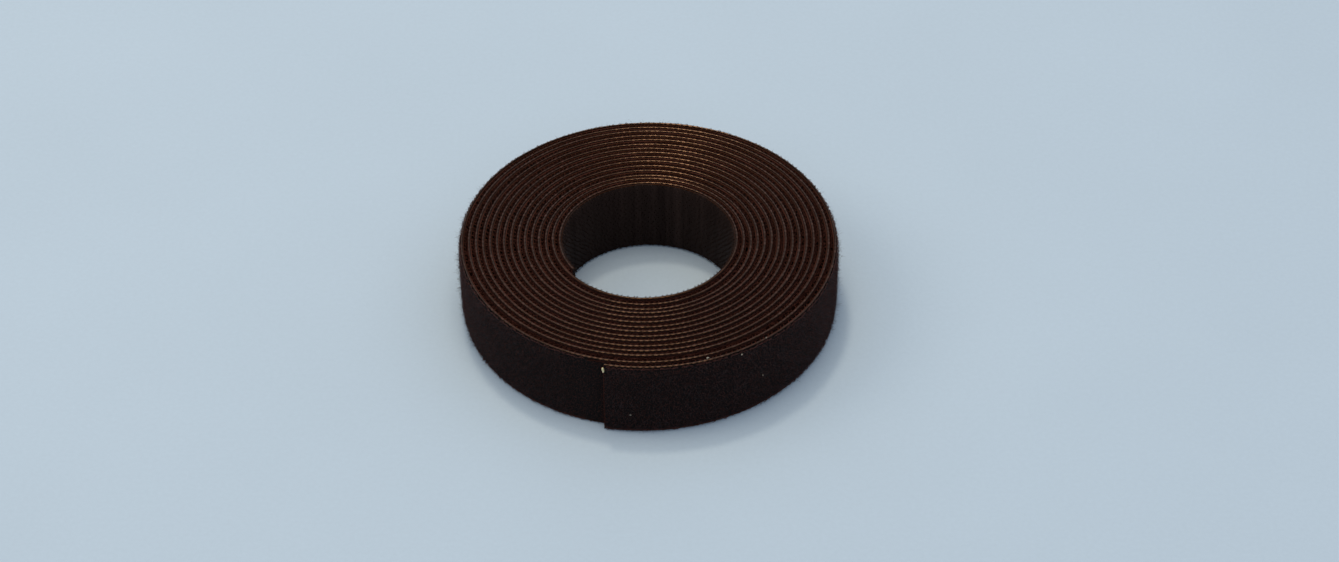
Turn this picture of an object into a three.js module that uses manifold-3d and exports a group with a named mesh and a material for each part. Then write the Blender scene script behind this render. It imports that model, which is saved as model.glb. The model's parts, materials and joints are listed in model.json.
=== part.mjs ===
// A roll of back-to-back hook and loop tape. A hook tape and a loop tape are laminated back to
// back with a bond film, and the strip is wound on itself, hooks inwards, with no core.
// Millimetres, +Z up. The roll lies flat on the edges of its turns, its winding axis is upright, and
// the origin is the middle of its outline, on the resting face.
// The outer end of the strip is the tail that a hand lifts and peels off. It is flexible, so it is
// cut into short links, each hinged to the one before along a line across the tape.

import * as THREE from "three";
import { mergeVertices } from "three/addons/utils/BufferGeometryUtils.js";
import Module from "manifold-3d";

const wasm = await Module();
wasm.setup();

// The strip, layer by layer from the hook tips outwards
const tapeWidth = 20;
const hookHeight = 0.4;
const hookFilm = 0.25;
const laminateGap = 0.03;
const bondFilm = 0.08;
const loopCloth = 0.35;
const loopPile = 0.5;
const hookToPileGap = 0.06;

// Along both edges of the strip, the pile and the hooks leave a plain margin, and the films lie
// back from the edge of the cloth
const selvedge = 0.8;
const hookMargin = 0.5;
const filmSetback = 0.3;

// The hooks: ribs across the strip with a head that leans along it
const hookPitch = 1.4;
const hookStem = 0.24;
const hookReach = 0.5;
const hookBarb = 0.16;
const hookRoot = 0.12;

// The winding
const boreRadius = 20;
const turns = 14.875;
const freeEndAngle = THREE.MathUtils.degToRad(-103.5);
const stepsPerTurn = 24;

// The outermost turns stand off a little where the tail was last laid back on the roll
const looseSlack = 0.6;
const looseTurns = 1.5;
const looseFade = 0.4;
const looseCentre = 0.07;

// The tail
const tailLinks = 5;
const linkGap = 0.3;

// Radial places of the layers, measured outwards from the inner face of the hook film
const bondInner = hookFilm + laminateGap;
const bondOuter = bondInner + bondFilm;
const clothInner = bondOuter + laminateGap;
const clothOuter = clothInner + loopCloth;
const pileOuter = clothOuter + loopPile;
const windingPitch = pileOuter + hookToPileGap + hookHeight;

const fullTurn = 2 * Math.PI;
const stepTurns = 1 / stepsPerTurn;
const tailTurns = tailLinks * stepTurns;

// How far the winding stands off its even spiral, where wound is the number of turns from the free
// end: a swell once a turn on the outermost turns, faded out over the turn below them.
function standOff(wound) {
  const swell = (0.5 + 0.5 * Math.cos(fullTurn * (wound - looseCentre))) ** 2;
  const fade = 1 - THREE.MathUtils.smoothstep(wound, looseTurns, looseTurns + looseFade);
  return looseSlack * swell * fade;
}

// The station of the winding at a number of turns from the free end: its angle about the axis and
// the radius of the hook film's inner face there. The strip runs inwards anticlockwise.
function station(wound) {
  const evenRadius = boreRadius + hookHeight + windingPitch * (turns - wound);
  return { angle: freeEndAngle + fullTurn * wound, radius: evenRadius + standOff(wound) };
}

// Stations from one place to another, with the whole steps of the winding between them.
function stationsBetween(from, to) {
  const wound = [from];
  const first = Math.floor(from / stepTurns + 1e-6) + 1;
  for (let step = first; step * stepTurns < to - 1e-6; step++) wound.push(step * stepTurns);
  wound.push(to);
  return wound.map(station);
}

// A point of the strip at a station, offset outwards from the hook film's inner face.
function pointAt({ angle, radius }, offset, height) {
  return new THREE.Vector3(
    (radius + offset) * Math.cos(angle),
    (radius + offset) * Math.sin(angle),
    height,
  );
}

// A strip of constant section, closed at both ends. The section lists its corners as
// [offset, height], anticlockwise in that plane.
function sweepStrip(section, stations) {
  const positions = [];
  for (const place of stations)
    for (const [offset, height] of section) positions.push(...pointAt(place, offset, height));
  const corners = section.length;
  const index = [];
  for (let i = 0; i + 1 < stations.length; i++)
    for (let j = 0; j < corners; j++) {
      const near = i * corners + j;
      const nearNext = i * corners + ((j + 1) % corners);
      const far = near + corners;
      const farNext = nearNext + corners;
      index.push(near, far, farNext, near, farNext, nearNext);
    }
  const lastRing = (stations.length - 1) * corners;
  const outline = section.map(([offset, height]) => new THREE.Vector2(offset, height));
  for (const [a, b, c] of THREE.ShapeUtils.triangulateShape(outline, [])) {
    index.push(a, b, c);
    index.push(lastRing + a, lastRing + c, lastRing + b);
  }
  const geometry = new THREE.BufferGeometry();
  geometry.setAttribute("position", new THREE.Float32BufferAttribute(positions, 3));
  geometry.setIndex(index);
  return geometry;
}

function filmSection(inner, outer) {
  return [
    [inner, filmSetback],
    [outer, filmSetback],
    [outer, tapeWidth - filmSetback],
    [inner, tapeWidth - filmSetback],
  ];
}

// The loop tape's section: the ground cloth at full width, with the pile stepped in from both edges.
const loopSection = [
  [clothInner, 0],
  [clothOuter, 0],
  [clothOuter, selvedge],
  [pileOuter, selvedge],
  [pileOuter, tapeWidth - selvedge],
  [clothOuter, tapeWidth - selvedge],
  [clothOuter, tapeWidth],
  [clothInner, tapeWidth],
];

// One rib of hooks in section: a stem rooted in the film, and a head that leans along the strip
// and turns back down to its barb. Across is along the strip, up is away from the film.
const hookOutline = [
  [-hookStem / 2, -hookRoot],
  [hookStem / 2, -hookRoot],
  [hookStem / 2, hookHeight - hookBarb],
  [hookReach - hookStem / 2, hookHeight - 2 * hookBarb],
  [hookReach - hookStem / 2, hookHeight - hookBarb / 2],
  [0, hookHeight],
];

function solidOf(geometry) {
  const bare = geometry.clone();
  bare.deleteAttribute("normal");
  bare.deleteAttribute("uv");
  const merged = mergeVertices(bare);
  return new wasm.Manifold(
    new wasm.Mesh({
      numProp: 3,
      vertProperties: new Float32Array(merged.attributes.position.array),
      triVerts: new Uint32Array(merged.index.array),
    }),
  );
}

function geometryOf(solid) {
  const { vertProperties, triVerts } = solid.getMesh();
  const geometry = new THREE.BufferGeometry();
  geometry.setAttribute("position", new THREE.BufferAttribute(vertProperties, 3));
  geometry.setIndex(new THREE.BufferAttribute(triVerts, 1));
  return geometry;
}

// The ribs of hooks on the flat between two stations, evenly spaced about its middle.
function hooksOnFlat(from, to) {
  const start = pointAt(from, 0, 0);
  const along = pointAt(to, 0, 0).sub(start);
  const length = along.length();
  along.normalize();
  const inward = new THREE.Vector3(-along.y, along.x, 0);
  const count = Math.floor(length / hookPitch);
  const ribs = [];
  for (let i = 0; i < count; i++) {
    const centre = length * ((i + 0.5) / count);
    const corners = hookOutline.map(([across, up]) => {
      const corner = start.clone().addScaledVector(along, centre + across);
      corner.addScaledVector(inward, up);
      return new THREE.Vector2(corner.x, corner.y);
    });
    const depth = tapeWidth - 2 * hookMargin;
    const rib = new THREE.ExtrudeGeometry(new THREE.Shape(corners), { depth, bevelEnabled: false });
    ribs.push(solidOf(rib.translate(0, 0, hookMargin)));
  }
  return ribs;
}

// A hook tape: its film, with hooks on the flats from hooksFrom onwards. Turns whose hooks are sunk
// in the pile of the turn below show none, so they keep the bare film.
function hookTapeGeometry(stations, hooksFrom) {
  let tape = solidOf(sweepStrip(filmSection(0, hookFilm), stations));
  for (let i = hooksFrom; i + 1 < stations.length; i++)
    for (const rib of hooksOnFlat(stations[i], stations[i + 1])) tape = tape.add(rib);
  return geometryOf(tape);
}

const loopMaterial = new THREE.MeshStandardMaterial({ color: 0x1d1617, roughness: 0.95, metalness: 0 });
const hookMaterial = new THREE.MeshStandardMaterial({ color: 0x17120f, roughness: 0.45, metalness: 0 });
const bondMaterial = new THREE.MeshStandardMaterial({ color: 0x6a5136, roughness: 0.4, metalness: 0 });

function piece(name, geometry, material) {
  const mesh = new THREE.Mesh(geometry, material);
  mesh.name = name;
  return mesh;
}

// The three layers of one length of the strip, as separate pieces.
function layers(name, stations, hooksFrom) {
  const group = new THREE.Group();
  group.add(piece(`${name}_loop_tape`, sweepStrip(loopSection, stations), loopMaterial));
  const bond = sweepStrip(filmSection(bondInner, bondOuter), stations);
  group.add(piece(`${name}_bond_film`, bond, bondMaterial));
  group.add(piece(`${name}_hook_tape`, hookTapeGeometry(stations, hooksFrom), hookMaterial));
  return group;
}

// Half of the gap between two links, in turns, where the strip has been wound so far.
function halfGapTurns(wound) {
  return linkGap / 2 / (fullTurn * station(wound).radius);
}

const roll = new THREE.Group();

// The wound length, from the tail's root to the inner end, with hooks on the turn that lines the bore
const rollStations = stationsBetween(tailTurns + halfGapTurns(tailTurns), turns);
const boreSteps = Math.min(stepsPerTurn, rollStations.length - 1);
roll.add(layers("roll", rollStations, rollStations.length - 1 - boreSteps));

// The tail's links, counted from its root to the free end
for (let link = 1; link <= tailLinks; link++) {
  const outerEnd = (tailLinks - link) * stepTurns;
  const rootEnd = outerEnd + stepTurns;
  const from = link === tailLinks ? outerEnd : outerEnd + halfGapTurns(outerEnd);
  const stations = [from, rootEnd - halfGapTurns(rootEnd)].map(station);
  roll.add(layers(`tail_${link}`, stations, 0));
}

// The origin goes to the middle of the outline
const middle = new THREE.Box3().setFromObject(roll).getCenter(new THREE.Vector3());
roll.position.set(-middle.x, -middle.y, 0);

// The least clear gap between a turn's bare film and the pile of the turn below it
function leastGap() {
  let least = Infinity;
  for (let wound = 0; wound + 1 <= turns; wound += stepTurns / 4)
    least = Math.min(least, station(wound).radius - station(wound + 1).radius - pileOuter);
  return least;
}
console.log(`least gap between turns ${leastGap().toFixed(3)} mm`);

export default roll;
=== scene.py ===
"""A roll of back-to-back hook and loop tape, dressed around its CAD frame.

A hook film and a loop cloth are laminated back to back and wound on themselves, hooks inwards, with
no core. Every piece follows that one winding. A place on the strip is given as (run, offset,
height): the length along the strip from its free end, the distance outwards from the inner face of
the hook film, and the height above the resting face. Metres, +Z up.
"""

import json
import math

import bpy
import numpy as np
from bpy.props import FloatProperty, FloatVectorProperty, IntProperty, PointerProperty
from mathutils import Matrix, Quaternion, Vector


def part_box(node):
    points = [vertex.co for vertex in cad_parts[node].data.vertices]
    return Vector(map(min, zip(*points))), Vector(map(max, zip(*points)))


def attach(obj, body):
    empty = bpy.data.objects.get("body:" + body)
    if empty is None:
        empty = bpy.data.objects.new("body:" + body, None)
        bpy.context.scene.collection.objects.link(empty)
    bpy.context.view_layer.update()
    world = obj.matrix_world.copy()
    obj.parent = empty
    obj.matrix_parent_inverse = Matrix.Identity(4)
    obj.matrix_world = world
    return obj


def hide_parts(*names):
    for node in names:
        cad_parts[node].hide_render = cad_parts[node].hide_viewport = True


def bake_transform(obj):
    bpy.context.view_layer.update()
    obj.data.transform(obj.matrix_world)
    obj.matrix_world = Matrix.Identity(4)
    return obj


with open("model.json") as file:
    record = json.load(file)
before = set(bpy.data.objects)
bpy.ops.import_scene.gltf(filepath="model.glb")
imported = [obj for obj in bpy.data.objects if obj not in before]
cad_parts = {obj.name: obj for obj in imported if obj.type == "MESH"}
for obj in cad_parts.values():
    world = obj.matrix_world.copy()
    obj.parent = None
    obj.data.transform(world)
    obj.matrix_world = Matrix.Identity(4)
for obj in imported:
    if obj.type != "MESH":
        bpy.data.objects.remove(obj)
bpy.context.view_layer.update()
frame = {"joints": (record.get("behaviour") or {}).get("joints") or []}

bl_info = {
    "name": "Hook and loop tape roll",
    "version": (1, 0, 0),
    "blender": (4, 5, 0),
    "location": "3D View > Sidebar > Tape roll",
    "description": "Dresses a wound roll of hook and loop tape around its CAD frame",
    "category": "Add Mesh",
}

HINGES = [np.array(joint["pos_m"]) for joint in frame["joints"]]
LINKS_PER_TURN = 24
TURN = 2 * math.pi

# The two edges of the strip, and whether each is the upper one
EDGES = {"upper": True, "lower": False}

# Turns by which the table of lengths runs past both ends of the strip
SPARE_TURNS = 0.05

# How the turns are out of round: share, times a turn, and turns to the widest place
OUT_OF_ROUND = ((0.6, 1, 0.55), (0.9, 2, 0.29), (1.0, 3, 0.01))

# In turns from the free end: the stretch of the innermost turn whose edge is darkened with painted
# shade, where the next turn starts to lie over the pile, and where the nap stops short of it
INNER_RIM = (13.88, 14.22)
COVERED_FROM, NAP_END = 0.985, 0.97

# Flecks of lint on the tail, each as turns from the free end, offset, height and size
LINT = (
    (0.0863, 0.0002, 0.0201, 0.00024),
    (0.1398, 0.0006, 0.0201, 0.00013),
    (0.1144, 0.0014, 0.0191, 0.00017),
    (0.1349, 0.0014, 0.0095, 0.00014),
    (0.0228, 0.0014, 0.0056, 0.00015),
)

# The woven edge in section, as shares of its half width: outwards, and up from the tape's edge
CORD_ACROSS = np.array([0.6, 1.0, 0.05, -0.05, -1.0, -0.6])
CORD_UP = np.array([-2.8, -0.4, 0.0, 0.0, -0.29, -2.8])

# A hook's bend, from its root to its tip
HOOK_SIDE = np.array([0, 0.00001, 0.00004, 0.00012, 0.00023, 0.0003])
HOOK_RISE = np.array([-0.00004, 0.00016, 0.0003, 0.00039, 0.00038, 0.00028])
HOOK_RADIUS = np.array([0.00014, 0.00011, 0.0001, 0.00009, 0.00008, 0.00006])

# Loops along the edges: spacing and lean on the outermost turn, and between the turns
RIM_SPACING, RIM_LEAN = 0.0003, 0.0003
GAP_SPACING = {"upper": 0.00028, "lower": 0.0009}
GAP_LEAN, FIRST_GAP_LEAN = 0.00072, 0.0004

# Turns from the free end at which the loops between the turns go from one piece to the next
GAP_SPLIT = 6

# Loose ends of yarn: how many along each edge and at the cut, and their least and greatest length
STRAY_COUNT, FRAY_COUNT = {"upper": 900, "lower": 300}, 46
STRAY_LENGTH = (0.0003, 0.0009)

# Angles in degrees past which an edge is shaded as a crease
FLAT_CREASE, CORD_CREASE = 50, 16

# Radians that the wave texture runs through in one unit, and the distance between the cloth's yarns
WAVE_RADIANS, YARN_PITCH = 20, 0.0002856

# The lamps, each with its share of plain daylight, azimuth from +X, elevation and width
LAMPS = {
    "key": ("small lamp", 0.18, 106, 70, 0.15),
    "fill": ("lamp overhead", 0.25, 120, 88, 0.66),
    "side": ("lamp at the side", 0.125, 175, 42, 0.7),
}
FLOOR_REACH = 8.0
LAMP_TINT = (1.04, 0.92, 0.72)
SENSOR_MM = 36


def setting(kind, **fixed):
    """A kind of setting that a user may change, called with its name, description and default."""
    return lambda name, description, default: kind(
        name=name, description=description, default=default, **fixed
    )


length = setting(FloatProperty, unit="LENGTH", precision=5)
share = setting(FloatProperty, precision=4)
colour = setting(FloatVectorProperty, subtype="COLOR", min=0, max=1)


def angle(name, description, degrees):
    """An angle that a user may change, given here in degrees."""
    return setting(FloatProperty, unit="ROTATION")(name, description, math.radians(degrees))


class TapeSizes(bpy.types.PropertyGroup):
    """The strip's layers, from the hook tips outwards, and its edges."""

    width: length("Width", "Width of the tape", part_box("roll_loop_tape")[1].z)
    hook_height: length("Hook height", "Height of a hook above its film", 0.0004)
    film: length("Hook film", "Thickness of the film that carries the hooks", 0.00025)
    bond_inner: length("Bond from", "Inner face of the bond film", 0.00028)
    bond_outer: length("Bond to", "Outer face of the bond film", 0.00036)
    cloth_inner: length("Cloth from", "Inner face of the ground cloth", 0.00039)
    cloth_outer: length("Cloth to", "Outer face of the ground cloth", 0.00074)
    pile_ground: length("Pile ground", "Outer face of the matted roots of the pile", 0.00102)
    pile_outer: length("Pile to", "Outer reach of the loops", 0.00124)
    pile_margin: length("Pile margin", "Plain cloth along each edge", 0.0008)
    film_setback: length("Film setback", "How far the films lie back from the edge", 0.0003)
    stitch: length("Stitch", "Length of one stitch of the woven edge", 0.0014)
    cord: length("Edge cord", "Half width of the woven edge", 0.00019)
    fluff: length("Fluff", "How far the outermost turn's loops stand above the rest", 0.0003)
    hook_pitch: length("Hook pitch", "Distance of the hooks along the strip", 0.0014)
    hook_row: length("Hook row", "Distance of the hooks across the strip", 0.00075)
    loop_pitch: length("Loop pitch", "Distance between the loops of the pile", 0.00055)


class WindingSizes(bpy.types.PropertyGroup):
    """The spiral that the strip follows."""

    bore: length("Bore radius", "Radius of the clear bore inside the hook tips", 0.02)
    pitch: length("Pitch", "Distance from one turn to the next", 0.0017)
    turns: share("Turns", "Number of turns from the free end to the inner end", 14.875)
    free_end: angle("Free end", "Angle of the free end about the axis", -103.5)
    slack: length("Slack", "How far the outermost turns stand off at the front", 0.0006)
    loose_turns: share("Loose turns", "Turns that stand off", 1.5)
    loose_fade: share("Loose fade", "Turns over which the stand-off fades", 0.4)
    loose_centre: share("Loose centre", "Turns from the free end to the widest gap", 0.07)
    lean: length("Lean", "How far the outermost turns' foot leans out by the free end", 0.0008)
    cut: length("Cut", "Length of strip that is trimmed off the free end", 0.0005)
    uneven: length("Unevenness", "How far every turn is out of round", 0.00006)
    ripple: length("Ripple", "How far the inner turns wander from an even spiral", 0.0006)
    ripple_at: share("Ripple at", "Turns from the free end to the middle of the ripple", 12.25)
    ripple_reach: share("Ripple reach", "Turns over which the ripple fades", 0.9)
    lift: length("Lift", "How far a turn may ride up on its neighbours", 0.0002)


class FinishColours(bpy.types.PropertyGroup):
    """The colours of the finishes, in linear light."""

    # The woven edge's dark colour also serves as painted shade in the dips between the stitches,
    # and its worn colour as painted light on their crests
    edge: colour("Woven edge", "Yarn of the edges", (0.011, 0.0045, 0.0036))
    edge_worn_and_lit: colour("Woven edge, worn", "Rubbed yarn of the edges", (0.074, 0.031, 0.024))
    cloth: colour("Ground cloth", "Cloth under the pile", (0.005, 0.0022, 0.002))
    pile: colour("Pile", "Loops of the pile", (0.061, 0.0212, 0.0162))
    pile_tip: colour("Pile tips", "Loops that catch the light", (0.132, 0.0455, 0.034))
    # Painted reflection: the nap's grey stands in for the sky seen on the fibres at a glance
    nap: colour("Nap", "Broken loops that stand out of the pile", (0.052, 0.033, 0.034))
    # Painted warm light: the loops between the turns get a redder brown for the light bounced
    # between the turns
    pile_edge_warm_light: colour("Pile edge", "Loops between the turns", (0.063, 0.0205, 0.0145))
    plastic: colour("Hook plastic", "Moulded film and hooks", (0.0195, 0.0115, 0.0095))
    # Painted warm light: hooks and film between the turns get a browner, redder colour for the glow
    # there
    plastic_edge_warm_light: colour("Hooks at the edge", "Hooks between the turns", (0.06, 0.0185, 0.0115))
    lip: colour("Film edge", "Slit edge of the film", (0.03, 0.009, 0.0035))
    bond: colour("Bond film", "Adhesive between the backs", (0.026, 0.011, 0.0058))
    glue: colour("Glue bead", "Set adhesive at the free end", (0.88, 0.75, 0.42))
    lint: colour("Lint", "Pale fibres caught in the pile", (0.6, 0.52, 0.4))


class StageSizes(bpy.types.PropertyGroup):
    """The floor, the sky and the camera. The lamps follow below."""

    floor: colour("Floor", "Pale paper under the roll", (0.512, 0.606, 0.695))
    sky: colour("Sky", "Soft light from all round", (0.742, 0.852, 1.0))
    sky_level: share("Sky level", "Strength of the light from all round", 0.645)
    lamp_distance: length("Lamp distance", "Distance of the lamps", 1.3)
    camera_distance: length("Camera distance", "From the camera to the foot of the axis", 0.96129)
    camera_elevation: angle("Camera elevation", "Height of the camera above the floor", 40.955)
    camera_roll: angle("Camera roll", "Turn of the camera about its own line", -0.6303)
    aim_right: length("Aim right", "Middle of the view on the floor, right of the axis", 0.005545)
    aim_back: length("Aim back", "Middle of the view on the floor, behind the axis", 0.007176)
    lens: share("Lens", "Focal length in millimetres for a 36 mm wide sensor", 104.69)
    seed: IntProperty(name="Seed", description="Seed of the scattered fibres", default=7)


for lamp, (what, level, azimuth, elevation, width) in LAMPS.items():
    name = lamp.capitalize()
    StageSizes.__annotations__ |= {
        f"{lamp}_level": share(f"{name} level", f"Share of plain daylight from the {what}", level),
        f"{lamp}_azimuth": angle(f"{name} azimuth", f"Direction of the {what} from +X", azimuth),
        f"{lamp}_elevation": angle(f"{name} elevation", f"Height of the {what}", elevation),
        f"{lamp}_size": length(f"{name} size", f"Width of the {what}", width),
    }


def smoothstep(value, low, high):
    """0 below low, 1 above high, and 3 t^2 - 2 t^3 between them."""
    t = np.clip((value - low) / (high - low), 0, 1)
    return t * t * (3 - 2 * t)


def unit(vectors):
    """The vectors at a length of one."""
    return vectors / np.linalg.norm(vectors, axis=-1, keepdims=True)


class Winding:
    """The spiral of the strip. At so many turns, wound, from the free end it lies at the angle free
    end + 2 pi wound, and the inner face of its film has the radius bore + hook height + pitch
    (turns - wound) + stand-off + wander. The rolled part starts half a link past the tail's root,
    where the strip stops bending with the tail."""

    def __init__(self, scene):
        self.tape, self.size = scene.tape_sizes, scene.winding_sizes
        self.rolled = ((len(HINGES) + 0.5) / LINKS_PER_TURN, self.size.turns)
        self.centre = np.zeros(2)
        hinge_wound = np.arange(len(HINGES), 0, -1) / LINKS_PER_TURN
        around = self.point(hinge_wound, self.tape.pile_outer, self.tape.width)[:, :2]
        self.centre = (np.array(HINGES)[:, :2] - around).mean(axis=0)
        self.wounds = np.linspace(-SPARE_TURNS, self.size.turns + SPARE_TURNS, 12000)
        places = self.point(self.wounds, self.tape.cloth_inner, self.tape.width)
        steps = np.linalg.norm(np.diff(places, axis=0), axis=1)
        self.runs = np.concatenate([[0], np.cumsum(steps)])
        self.runs -= np.interp(0, self.wounds, self.runs)

    def stand_off(self, wound, height):
        """The loose outermost turns: a swell once a turn, faded out over the turn below them.
        Towards their foot they lean out by the free end, and in by 0.4 of the lean elsewhere."""
        size = self.size
        swell = (0.5 + 0.5 * np.cos(TURN * (wound - size.loose_centre))) ** 2
        lean = size.lean * ((0.5 + 0.5 * np.cos(TURN * wound)) ** 8 - 0.4)
        loose = 1 - smoothstep(wound, size.loose_turns, size.loose_turns + size.loose_fade)
        return loose * (size.slack * swell + lean * (1 - height / self.tape.width))

    def wander(self, wound):
        """Out of round a little once, twice and three times a turn, with one stronger ripple among
        the inner turns. Both fade in below the tail."""
        size = self.size
        uneven = sum(
            part * np.cos(times * TURN * (wound - widest)) for part, times, widest in OUT_OF_ROUND
        )
        crest = 12.04
        from_middle = (wound - size.ripple_at) / size.ripple_reach
        ripple = np.cos(TURN * (wound - crest)) * np.exp(-(from_middle**2))
        return (size.uneven * uneven + size.ripple * ripple) * smoothstep(wound, 0.3, 0.8)

    def lift(self, wound):
        """Two slow waves that let a turn ride up off the floor, faded in below the tail."""
        waves = 0.5 + 0.3 * np.sin(TURN * 0.43 * wound + 1.1) + 0.2 * np.sin(TURN * 1.21 * wound)
        return self.size.lift * waves * smoothstep(wound, 0.5, 1.6)

    def point(self, wound, offset, height):
        """The point of the strip at a place, as an array of the broadcast shape with xyz last."""
        size = self.size
        even = size.bore + self.tape.hook_height + size.pitch * (size.turns - wound)
        radius = even + self.stand_off(wound, height) + self.wander(wound) + offset
        turn = size.free_end + TURN * wound
        x = self.centre[0] + radius * np.cos(turn)
        y = self.centre[1] + radius * np.sin(turn)
        return np.stack(np.broadcast_arrays(x, y, height + self.lift(wound)), axis=-1)

    def run_at(self, wound):
        """The length along the strip at a number of turns from its free end."""
        return np.interp(wound, self.wounds, self.runs)

    def wound_at(self, run):
        """The number of turns at a length along the strip."""
        return np.interp(run, self.runs, self.wounds)

    def place(self, run, offset, height):
        """The points and the strip places for arrays of run, offset and height."""
        strip = np.stack(np.broadcast_arrays(run, offset, height), axis=-1)
        return self.point(self.wound_at(strip[..., 0]), strip[..., 1], strip[..., 2]), strip


class Shape:
    """A mesh as whole arrays: points, their places on the strip, and faces by corner count."""

    def __init__(self, points, strip, faces):
        self.points = points.reshape(-1, 3)
        self.strip = strip.reshape(-1, 3)
        self.faces = faces


def joined(shapes):
    """Several shapes as one."""
    starts = np.cumsum([0] + [len(shape.points) for shape in shapes])
    return Shape(
        np.concatenate([shape.points for shape in shapes]),
        np.concatenate([shape.strip for shape in shapes]),
        [face + start for shape, start in zip(shapes, starts) for face in shape.faces],
    )


def skin(points, strip, clockwise=False):
    """A shape over rings of points, (tubes, rings, corners, 3): walls from ring to ring, and a face
    on both ends. The corners go round their path anticlockwise, or clockwise where that is said."""
    count, rings, corners = points.shape[:3]
    corner = np.arange(corners)
    after = (corner + 1) % corners
    first = np.arange(count)[:, None] * rings * corners
    near = first[:, :, None] + np.arange(rings - 1)[:, None] * corners
    walls = [near + corner, near + after, near + after + corners, near + corner + corners]
    if clockwise:
        walls, corner = [walls[0], *walls[:0:-1]], corner[::-1]
    walls = np.stack(walls, axis=-1).reshape(-1, 4)
    ends = np.concatenate([first + corner[::-1], first + (rings - 1) * corners + corner])
    return Shape(points, strip, [walls, ends])


def carried(winding, wound, offset, height):
    """A profile carried along the winding. offset and height give its corners, for all stations or
    for each, anticlockwise with offset to the right and height up, so clockwise about the path."""
    points, strip = winding.place(winding.run_at(wound)[:, None], offset, height)
    return skin(points[None], strip[None], clockwise=True)


def tubes(paths, strip, radii, sides, hint):
    """Many tubes at once, along paths of (tubes, points, 3). A ring's point is the path's point +
    radius (cos a across + sin a up), across being square to path and hint, and up to both."""
    run = unit(np.gradient(paths, axis=1))
    across = unit(np.cross(run, hint))
    up = np.cross(run, across)
    turn = TURN * np.arange(sides) / sides
    ring = np.cos(turn)[:, None] * across[:, :, None] + np.sin(turn)[:, None] * up[:, :, None]
    radii = np.broadcast_to(radii, paths.shape[:2])
    points = paths[:, :, None] + radii[:, :, None, None] * ring
    return skin(points, np.broadcast_to(strip[:, :, None], points.shape))


def rounded(inner, outer, low, high, radius, steps):
    """A rectangle with rounded corners as (offset, height): quarter circles about the four corner
    centres, each of so many points."""
    turn = np.linspace(0, math.pi / 2, steps)
    centres = [
        (outer - radius, low + radius, -math.pi / 2),
        (outer - radius, high - radius, 0),
        (inner + radius, high - radius, math.pi / 2),
        (inner + radius, low + radius, math.pi),
    ]
    arcs = [
        np.stack([across + radius * np.cos(start + turn), up + radius * np.sin(start + turn)])
        for across, up, start in centres
    ]
    return np.concatenate(arcs, axis=1)


def stations(start, end, per_turn=120):
    """Evenly spaced numbers of turns from start to end."""
    return np.linspace(start, end, max(2, round((end - start) * per_turn) + 1))


def layer_shape(winding, layer, start, end):
    """A layer of the strip: a thin rectangle with rounded corners, carried along the winding. The
    edges of the cloth lie inside the woven edges, and the matted roots of the pile sink into it."""
    tape = winding.tape
    sunk = tape.cloth_outer - 0.00003
    inner, outer, setback, corner, steps = {
        "cloth": (tape.cloth_inner, tape.cloth_outer, tape.film_setback, 0.00012, 3),
        "pile_ground": (sunk, tape.pile_ground, tape.pile_margin, 0.0001, 3),
        "bond": (tape.bond_inner, tape.bond_outer, tape.film_setback + 0.0001, 0.00002, 2),
        "film": (0, tape.film, tape.film_setback, 0.00006, 3),
    }[layer]
    section = rounded(inner, outer, setback, tape.width - setback, corner, steps)
    return carried(winding, stations(start, end), *section)


def lip_shape(winding, start, end, upper):
    """The slit edge of the hook film: an ellipse along its inner corner, smooth, that rises and
    falls a little, 7.3 and 17.9 times a turn."""
    tape = winding.tape
    wound = stations(start, end, 150)
    wave = 0.00003 * np.sin(TURN * 7.3 * wound) + 0.00002 * np.sin(TURN * 17.9 * wound)
    turn = TURN * np.arange(6) / 6 + math.pi / 6
    half_across, half_up, inset = 0.00011, 0.00014, 0.0001
    middle = tape.film_setback + inset + wave[:, None]
    middle = tape.width - middle if upper else middle
    offset = 0.00008 + half_across * np.cos(turn)
    return carried(winding, wound, offset, middle + half_up * np.sin(turn))


def edge_cord_shape(winding, start, end, upper, rng):
    """The woven edge: a low ridge, a little steeper outwards than towards the axis. Its section
    swells once a stitch, by 1 - d + d sin(pi run / stitch)^2, and every stitch has a size and a
    height of its own."""
    tape = winding.tape
    first, last = winding.run_at((start, end))
    rings = round((last - first) / tape.stitch * (6 if upper else 4)) + 1
    run = np.linspace(first, last, max(3, rings))[:, None]
    stitch = np.arange(math.floor(first / tape.stitch), math.ceil(last / tape.stitch) + 1)
    own = np.clip(rng.normal(0, 1, (2, len(stitch))), -1.8, 1.8)
    size, rise = (np.interp(run, (stitch + 0.5) * tape.stitch, values) for values in own)
    d, differ = 0.26, 0.17
    swell = (1 + differ * size) * (1 - d + d * np.sin(math.pi * run / tape.stitch) ** 2)
    offset = (tape.cloth_inner + tape.cloth_outer) / 2 + tape.cord * swell * CORD_ACROSS
    section = tape.cord * CORD_UP * np.where(CORD_UP < -1, 1, swell)
    fall = 0.00004 * (1 - swell) - 0.00001 * rise - section
    wound = winding.wound_at(run[:, 0])
    if upper:
        return carried(winding, wound, offset, tape.width - fall)
    return carried(winding, wound, offset[:, ::-1], np.maximum(fall, 0)[:, ::-1])


def arches(winding, middle, half_span, peak, radii):
    """Loops as thin tubes along half ellipses: middle - cos(a) half span + sin(a) peak, where each
    of the three is (run, offset, height) for every loop."""
    arc = np.linspace(0, math.pi, 5)
    parts = [np.broadcast_arrays(*vectors, radii)[:3] for vectors in (middle, half_span, peak)]
    place = [at - np.cos(arc) * half + np.sin(arc) * top for at, half, top in zip(*parts)]
    paths, strip = winding.place(*place)
    hint = np.cross(paths[:, 2] - paths[:, 0], paths[:, 4] - paths[:, 0])[:, None]
    return tubes(paths, strip, radii, 3, hint)


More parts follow.
